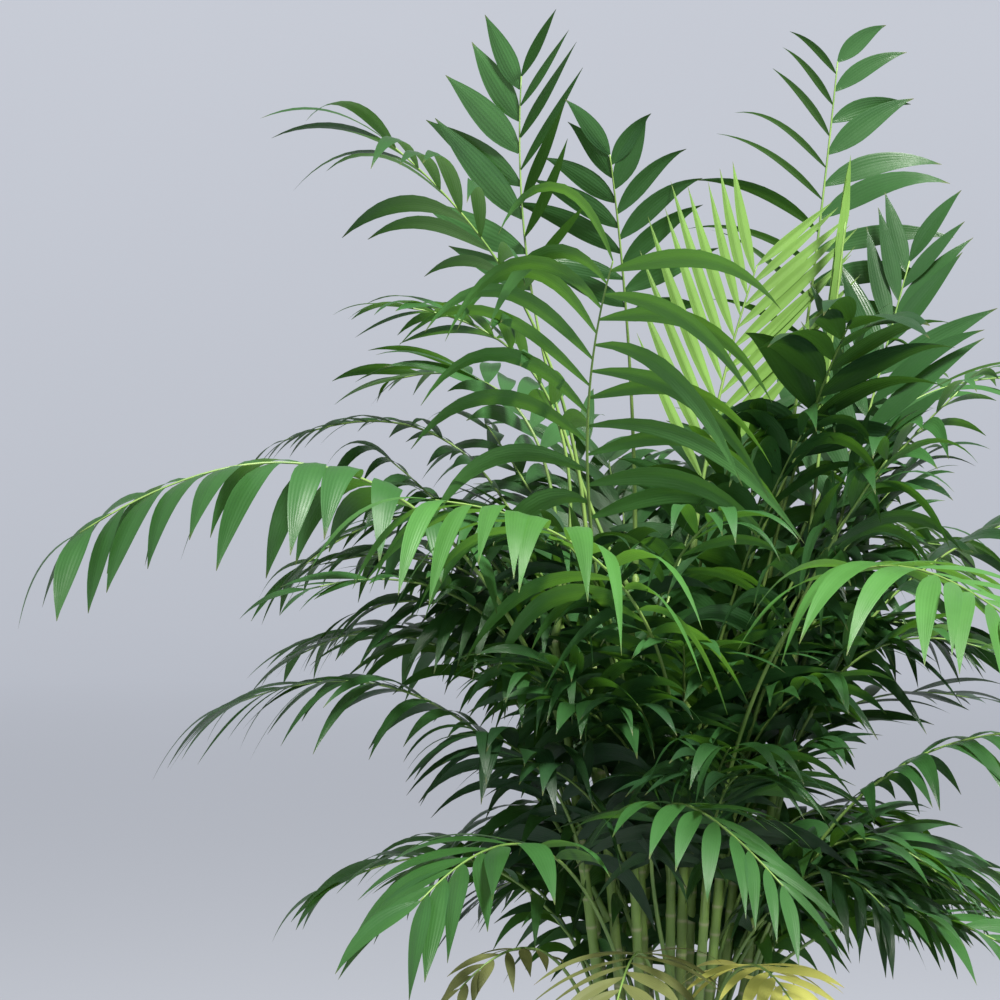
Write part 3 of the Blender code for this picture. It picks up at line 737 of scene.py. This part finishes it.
@dataclass
class Crown:
    """Every frond of the palm: ribs and leaflets, grown along the arches of the solids."""

    canes: "Canes"
    rib_foot: float = 0.0026
    rib_top: float = 0.0008
    rib_sides: int = 6
    rib_taper: float = 0.8
    sheath_flare: float = 0.0022
    sheath_share: float = 0.035
    stagger: float = 0.45
    last_gap: float = 0.6
    crowding: float = 0.94
    longest_at: float = 0.3
    narrow_base: float = 0.55
    narrow_by_size: float = 0.5
    sheaf_triangles: int = 165000
    spread: Spread = Spread()
    masses: MassHabit = MassHabit()

    def __post_init__(self) -> None:
        """Start with empty meshes and the seeded draws."""
        self.draw = np.random.default_rng(SEED)
        self.tones = list(Tone)
        self.materials = [tone.value.build() for tone in self.tones]
        self.leaves = Sheaf("leaflets")
        self.ribs = Sheaf("ribs")

    def grow(self, arch: Arch, habit: Habit) -> None:
        """Grow one frond.

        Args:
            arch: Its spine.
            habit: How it carries its leaflets.
        """
        slot = self.tones.index(habit.tone)
        spread = self.spread
        wild = habit.wild
        points = arch.points
        along = unit(np.gradient(points, axis=0))
        length = float(np.linalg.norm(np.diff(points, axis=0), axis=1).sum())
        self.add_rib(points, along, arch.over, length)
        across_all = unit(np.cross(along, arch.over))
        for side in (-1.0, 1.0):
            for number in range(habit.pairs):
                ahead_by = self.stagger if side > 0 else 0.0
                share = min(1.0, (number + ahead_by) / (habit.pairs - self.last_gap))
                along_blade = arch.bare + (1.0 - arch.bare) * share ** self.crowding
                place = along_blade * (len(points) - 1)
                row = int(min(place, len(points) - 2))
                part = place - row
                base = points[row] * (1.0 - part) + points[row + 1] * part
                ahead = unit(along[row] * (1.0 - part) + along[row + 1] * part)
                across = unit(across_all[row] * (1.0 - part) + across_all[row + 1] * part)
                over = np.cross(across, ahead)
                opening = math.radians(habit.open_base + (habit.open_tip - habit.open_base) * share
                                       + self.draw.normal(0.0, spread.opening * wild))
                lift = math.radians(habit.lift + self.draw.normal(0.0, spread.lift * wild))
                out = across * (side * math.cos(lift)) + over * math.sin(lift)
                way = ahead * math.cos(opening) + out * math.sin(opening)
                size = self.size_at(habit, share) * self.draw.normal(1.0, spread.length)
                rolled = side * habit.roll > 0.0
                roll = math.radians(habit.roll) if rolled else 0.0
                slim = habit.slim if rolled else 1.0
                narrow = min(1.0, self.narrow_base + self.narrow_by_size * size)
                self.leaves.add_grid(
                    Leaflet(
                        base=base + out * self.rib_top * 0.5,
                        way=way,
                        edge=ahead * math.cos(roll) + np.cross(way, ahead) * math.sin(roll),
                        length=habit.length * size,
                        width=habit.width * slim * narrow * self.draw.normal(1.0, spread.width),
                        droop=habit.droop * self.draw.uniform(*spread.droop),
                        twist=math.radians(self.draw.normal(0.0, spread.twist * wild)),
                        fold=habit.fold,
                        bend=self.draw.uniform(*spread.bend),
                        sweep=self.draw.normal(spread.sweep, spread.sweep_spread * wild),
                    ).grid(),
                    np.linspace(0.0, 1.0, LEAF_COLUMNS), np.linspace(0.0, 1.0, LEAF_ROWS), slot)

    def size_at(self, habit: Habit, share: float) -> float:
        """Return a leaflet's length along the frond, as a share of the longest."""
        peak = self.longest_at
        if share < peak:
            return habit.short_base + (1.0 - habit.short_base) * share / peak
        return 1.0 - (1.0 - habit.taper) * (share - peak) / (1.0 - peak)

    def add_rib(self, points: np.ndarray, along: np.ndarray, over: np.ndarray,
                length: float) -> None:
        """Add a frond's stalk and rib as one tapering tube."""
        share = np.linspace(0.0, 1.0, len(points))
        radius = (self.rib_foot + (self.rib_top - self.rib_foot) * share ** self.rib_taper
                  + self.sheath_flare * np.exp(-share / self.sheath_share))
        across = unit(np.cross(along, over))
        upper = np.cross(across, along)
        turn = np.linspace(0.0, math.tau, self.rib_sides, endpoint=False)[None, :, None]
        ring = across[:, None, :] * np.cos(turn) + upper[:, None, :] * np.sin(turn)
        grid = points[:, None, :] + ring * radius[:, None, None]
        across_map = np.linspace(0.0, 1.0, self.rib_sides)
        self.ribs.add_grid(grid, across_map, share * length, 0, closed=True)

    def build(self) -> None:
        """Grow every frond and mass, and join them into pieces."""
        nodes = sorted(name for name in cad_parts
                       if name.startswith("frond_") or "_mass_" in name)
        for slot, own in OWN_SLOTS.items():
            self.grow_group(slot, list(own))
        rest = [name for name in nodes
                if not any(name in own for own in OWN_SLOTS.values())]
        self.grow_group("leaflets", rest)
        finish(self.ribs.build([STALK.build()]), [])

    def grow_group(self, label: str, names: Sequence[str]) -> None:
        """Grow the fronds of one material slot and join their leaflets into pieces.

        Args:
            label: What the pieces' names begin with.
            names: The CAD nodes they stand for.
        """
        waiting = list(names)
        number = 0
        while waiting:
            number += 1
            self.leaves = Sheaf(f"{label}_{number}")
            done = []
            while waiting and self.leaves.triangles() < self.sheaf_triangles:
                name = waiting.pop(0)
                arch = Arch.of_node(name)
                done.append(name)
                if "_mass_" in name:
                    self.grow_mass(name, arch)
                else:
                    self.grow(arch, HABITS.get(name, Habit()))
            finish(self.leaves.build(self.materials), done)

    def grow_mass(self, name: str, arch: Arch) -> None:
        """Grow the fronds of a mass, fanned out round its arch and seated on canes near it.

        Args:
            name: The mass's node.
            arch: Its spine.
        """
        masses = self.masses
        heights = masses.inner_lift if name.startswith("inner") else masses.lift
        count = MASS_FRONDS[name.split("_")[0]]
        for number in range(count):
            turn = ((number - (count - 1) / 2.0) * masses.turn
                    + self.draw.normal(0.0, masses.turn_spread))
            reach = self.draw.uniform(*masses.reach)
            rise = self.draw.uniform(*masses.rise)
            lift = self.draw.uniform(*heights)
            pick = int(self.draw.integers(0, masses.near_canes))
            seat = self.canes.seat(arch.points[0], lift, pick)
            tone = masses.tones[int(self.draw.integers(0, len(masses.tones)))]
            habit = Habit(pairs=masses.pairs, length=self.draw.uniform(*masses.length),
                          width=self.draw.uniform(*masses.width),
                          droop=self.draw.uniform(*masses.droop), wild=masses.wild, tone=tone)
            grown = arch.varied(seat, turn, reach, rise)
            grown.bare = self.draw.uniform(*masses.bare)
            self.grow(grown, habit)


@dataclass
class Canes:
    """The ringed canes, each a tapering tube that swells a little at its scars."""

    joint: Tuple[float, float] = (0.026, 0.036)
    rings_a_joint: int = 6
    sides: int = 10
    scar_width: float = 0.10
    scar_swell: float = 0.13
    tip_radius: float = 0.0038
    end_radius: float = 0.0005
    sunk: float = 0.018
    lowest_seat: float = 0.15
    highest_seat: float = 0.99
    axes: List[Tuple[np.ndarray, np.ndarray]] = field(default_factory=list)

    def seat(self, near: np.ndarray, lift: float, pick: int) -> np.ndarray:
        """Return a point on the middle of a cane, for a frond to spring from.

        Args:
            near: A point by which the cane is chosen.
            lift: How far above that point the frond springs.
            pick: Which of the nearest canes it is, from 0.

        Returns:
            The point on the cane.
        """
        height = near[2] + lift
        spots = []
        for foot, tip in self.axes:
            share = (height - foot[2]) / (tip[2] - foot[2])
            share = min(self.highest_seat, max(self.lowest_seat, share))
            spots.append(foot + (tip - foot) * share)
        spots.sort(key=lambda spot: float(np.linalg.norm(spot - near - UP * lift)))
        return spots[pick]

    def build(self) -> None:
        """Join every cane into one piece."""
        sheaf = Sheaf("canes")
        names = sorted(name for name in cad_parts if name.startswith("cane_"))
        draw = np.random.default_rng(SEED + 1)
        for name in names:
            places, _ = welded(name)
            low = places[places[:, 2] < places[:, 2].min() + 0.001]
            tip = places[places[:, 2].argmax()]
            foot = low.mean(axis=0)
            foot_radius = float(np.linalg.norm(low - foot, axis=1).mean())
            self.add_cane(sheaf, foot, tip, foot_radius, draw)
            self.axes.append((foot, tip))
        finish(sheaf.build([CANE.build()]), names)

    def add_cane(self, sheaf: Sheaf, foot: np.ndarray, tip: np.ndarray, foot_radius: float,
                 draw: np.random.Generator) -> None:
        """Add one cane, from its foot in the mix to its tip.

        Args:
            sheaf: The mesh it is added to.
            foot: The middle of its foot.
            tip: Its tip.
            foot_radius: Its radius at the foot.
            draw: The seeded draws.
        """
        length = float(np.linalg.norm(tip - foot))
        joint = draw.uniform(*self.joint)
        rows = int(length / joint) * self.rings_a_joint
        along = np.linspace(-self.sunk, length, rows)
        phase = along / joint + draw.uniform(0.0, 1.0)
        swell = np.exp(-((phase % 1.0 - 0.5) / self.scar_width) ** 2)
        tapered = foot_radius + (self.tip_radius - foot_radius) * along / length
        radius = tapered * (1.0 + self.scar_swell * swell)
        radius[-1] = self.end_radius
        way = (tip - foot) / length
        across = unit(np.cross(way, np.array((0.0, 1.0, 0.0))))
        other = np.cross(way, across)
        turn = np.linspace(0.0, math.tau, self.sides, endpoint=False)[None, :, None]
        ring = across * np.cos(turn) + other * np.sin(turn)
        grid = (foot + way * along[:, None])[:, None, :] + ring * radius[:, None, None]
        sheaf.add_grid(grid, np.linspace(0.0, 1.0, self.sides), phase - 0.5, 0, closed=True)


def finish(piece: bpy.types.Object, nodes: Sequence[str]) -> None:
    """Ride a piece on the root body, hide the CAD nodes it stands for, and report it."""
    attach(piece, "root")
    if nodes:
        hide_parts(*nodes)
    LOG.info("%s: %d faces, for %d nodes", piece.name, len(piece.data.polygons), len(nodes))


def lathe(name: str, profile: Sequence[Tuple[float, float]], sides: int) -> bpy.types.Object:
    """Turn a closed piece by extruding a disc through rings of another radius and height.

    Args:
        name: The piece's name.
        profile: The rings, as radius and height, from the underside's edge to the last one.
        sides: How many sides each ring has.

    Returns:
        The piece, smooth, with its faces outwards.
    """
    bpy.ops.object.select_all(action="DESELECT")
    radius, height = profile[0]
    bpy.ops.mesh.primitive_circle_add(vertices=sides, radius=radius, fill_type="NGON",
                                      location=(0.0, 0.0, height))
    piece = bpy.context.object
    bpy.ops.object.transform_apply(location=True, rotation=False, scale=False)
    piece.name = name
    bpy.ops.object.mode_set(mode="EDIT")
    bpy.ops.mesh.select_all(action="SELECT")
    for following, level in profile[1:]:
        rise = level - height
        bpy.ops.mesh.extrude_region_move(TRANSFORM_OT_translate={"value": (0.0, 0.0, rise)})
        grow = following / radius
        bpy.ops.transform.resize(value=(grow, grow, 1.0), center_override=(0.0, 0.0, level))
        radius, height = following, level
    bpy.ops.mesh.select_all(action="SELECT")
    bpy.ops.mesh.normals_make_consistent(inside=False)
    bpy.ops.object.mode_set(mode="OBJECT")
    bpy.ops.object.shade_smooth()
    return piece


@dataclass
class Pot:
    """The plain round pot, with its rounded lip and foot."""

    wall: float = 0.009
    lip_depth: float = 0.028
    lip_proud: float = 0.005
    foot_edge: float = 0.003
    lip_edge: float = 0.0025
    sides: int = 128
    arc_steps: int = 6
    seam_in: float = 0.0004
    seam_below: float = 0.0008
    seam_out: float = 0.0003
    seam_above: float = 0.0002

    def arc(self, centre: Tuple[float, float], radius: float, start: float,
            end: float) -> List[Tuple[float, float]]:
        """Return points of an arc in the profile, by degrees upwards from outwards."""
        turns = np.radians(np.linspace(start, end, self.arc_steps))
        return [(centre[0] + radius * math.cos(turn), centre[1] + radius * math.sin(turn))
                for turn in turns]

    def build(self) -> None:
        """Turn the pot to the size of its solid."""
        places, _ = welded("pot")
        reach = np.hypot(places[:, 0], places[:, 1])
        height, rim = float(places[:, 2].max()), float(reach.max())
        foot = float(reach[places[:, 2] < NEAR_NOTHING].max()) + self.foot_edge
        slope = (rim - self.lip_proud - foot) / height
        lip = height - self.lip_depth
        inner = rim - self.lip_proud - self.wall
        edge, round_ = self.foot_edge, self.lip_edge
        profile = [(foot * share, 0.0) for share in (HUB_SHARE, 0.5)]
        profile += self.arc((foot - edge, edge), edge, -90.0, 0.0)
        profile += [(foot + slope * lip * share, edge + (lip - edge) * share)
                    for share in (0.25, 0.5, 0.75)]
        under = foot + slope * lip
        profile += [(under - self.seam_in, lip - self.seam_below),
                    (under + self.seam_out, lip + self.seam_above)]
        profile += self.arc((rim - round_, lip + self.lip_proud), round_, -70.0, 0.0)
        profile += self.arc((rim - round_, height - round_), round_, 0.0, 90.0)
        profile += self.arc((inner + round_, height - round_), round_, 90.0, 180.0)
        profile += [(inner - slope * (height - level), level)
                    for level in (height * 0.8, height * 0.5, self.wall)]
        profile.append((inner * HUB_SHARE, self.wall))
        pot = lathe("pot_turned", profile, self.sides)
        pot.data.materials.append(POT.build())
        finish(pot, ["pot"])


@dataclass
class PottingMix:
    """The crumbly mix that fills the pot to a little under its rim."""

    rings: int = 46
    sides: int = 160
    crumb: float = 0.0045
    edge: float = 0.004
    settle: float = 0.3
    steepness: float = 0.5
    waves_each: int = 9
    swells: Tuple[Tuple[float, float], ...] = (
        (60.0, 0.5), (140.0, 0.35), (320.0, 0.25), (700.0, 0.2))

    def build(self) -> None:
        """Turn the mix to the size of its solid, and roughen its top."""
        places, _ = welded("potting_mix")
        reach = np.hypot(places[:, 0], places[:, 1])
        top, floor = float(places[:, 2].max()), float(places[:, 2].min())
        wide = float(reach.max())
        low = float(reach[places[:, 2] < floor + NEAR_NOTHING].max())
        profile = [(low * HUB_SHARE, floor), (low, floor),
                   (wide - self.edge * 0.3, top - self.edge)]
        shares = np.linspace(1.0, HUB_SHARE, self.rings)
        profile += [((wide - self.edge) * share, top) for share in shares]
        mix = lathe("potting_mix_top", profile, self.sides)
        draw = np.random.default_rng(SEED + 2)
        waves = [(draw.normal(0.0, 1.0, 2) * scale, draw.uniform(0.0, math.tau), weight)
                 for scale, weight in self.swells for _ in range(self.waves_each)]
        for vertex in mix.data.vertices:
            if vertex.co.z < top - NEAR_NOTHING:
                continue
            spot = np.array(vertex.co[:2])
            wave = sum(weight * math.sin(float(spot @ way) + phase)
                       for way, phase, weight in waves)
            held = max(-1.0, min(1.0, wave * self.steepness))
            vertex.co.z = top + self.crumb * (held - self.settle)
        mix.data.update()
        mix.data.materials.append(SOIL.build())
        finish(mix, ["potting_mix"])


@dataclass(frozen=True)
class Lamp:
    """One square area light and the point that it looks at."""

    name: str
    place: Tuple[float, float, float]
    target: Tuple[float, float, float]
    size: float
    power: float
    colour: Tuple[float, float, float]

    def build(self) -> None:
        """Add the light to the scene."""
        lamp = bpy.data.lights.new(self.name, "AREA")
        lamp.size = self.size
        lamp.energy = self.power
        lamp.color = self.colour
        holder = bpy.data.objects.new(self.name, lamp)
        holder.location = self.place
        look = Vector(self.target) - Vector(self.place)
        holder.rotation_euler = look.to_track_quat("-Z", "Y").to_euler()
        bpy.context.scene.collection.objects.link(holder)


@dataclass
class Studio:
    """The plain pale sweep, the soft lights and the camera."""

    floor: float = 11.0
    sides: int = 96
    cove: float = 2.5
    cove_steps: int = 12
    wall: float = 4.0
    sky: Tuple[float, float, float, float] = (0.93, 0.95, 1.0, 1.0)
    sky_strength: float = 0.40
    eye: Tuple[float, float, float] = (-0.165, -3.0, 0.84)
    lens: float = 108.0
    sensor: float = 36.0
    lamps: Tuple[Lamp, ...] = (
        Lamp("key", (1.3, -2.0, 3.6), (0.0, 0.0, 0.85), 0.55, 430.0, (1.0, 0.98, 0.94)),
        Lamp("fill", (-3.0, -2.8, 1.6), (0.0, 0.0, 0.7), 2.0, 26.0, (0.88, 0.94, 1.0)),
    )

    def build(self) -> None:
        """Make the sweep, the lights and the camera."""
        self.build_sweep()
        for lamp in self.lamps:
            lamp.build()
        world = bpy.context.scene.world or bpy.data.worlds.new("World")
        bpy.context.scene.world = world
        world.use_nodes = True
        background = world.node_tree.nodes["Background"]
        background.inputs["Color"].default_value = self.sky
        background.inputs["Strength"].default_value = self.sky_strength
        camera = bpy.data.cameras.new("camera")
        camera.lens = self.lens
        camera.sensor_width = self.sensor
        holder = bpy.data.objects.new("camera", camera)
        holder.location = self.eye
        holder.rotation_euler = (math.pi / 2, 0.0, 0.0)
        bpy.context.scene.collection.objects.link(holder)
        bpy.context.scene.camera = holder

    def build_sweep(self) -> None:
        """Make the floor, the cove round it and the wall, as one surface."""
        bpy.ops.object.select_all(action="DESELECT")
        bpy.ops.mesh.primitive_circle_add(vertices=self.sides, radius=self.floor,
                                          fill_type="NGON", location=(0.0, 0.0, 0.0))
        sweep = bpy.context.object
        sweep.name = "sweep"
        bpy.ops.object.mode_set(mode="EDIT")
        bpy.ops.mesh.select_all(action="SELECT")
        bpy.ops.mesh.region_to_loop()
        for step in range(self.cove_steps):
            first = math.pi / 2 * step / self.cove_steps
            second = math.pi / 2 * (step + 1) / self.cove_steps
            out = self.cove * (math.sin(second) - math.sin(first))
            up = self.cove * (math.cos(first) - math.cos(second))
            here = self.floor + self.cove * math.sin(first)
            bpy.ops.mesh.extrude_region_move(TRANSFORM_OT_translate={"value": (0.0, 0.0, up)})
            grow = (here + out) / here
            bpy.ops.transform.resize(value=(grow, grow, 1.0), center_override=(0.0, 0.0, 0.0))
        bpy.ops.mesh.extrude_region_move(
            TRANSFORM_OT_translate={"value": (0.0, 0.0, self.wall)})
        bpy.ops.mesh.select_all(action="SELECT")
        bpy.ops.mesh.normals_make_consistent(inside=True)
        bpy.ops.object.mode_set(mode="OBJECT")
        bpy.ops.object.shade_smooth()
        sweep.data.materials.append(PAPER.build())


def main() -> None:
    """Build the palm, its pot and the studio."""
    logging.basicConfig(level=logging.INFO, format="%(name)s: %(message)s")
    bpy.context.scene.view_settings.view_transform = "Standard"
    canes = Canes()
    canes.build()
    Crown(canes).build()
    Pot().build()
    PottingMix().build()
    Studio().build()
    bpy.context.view_layer.update()


if __name__ == "__main__":
    main()
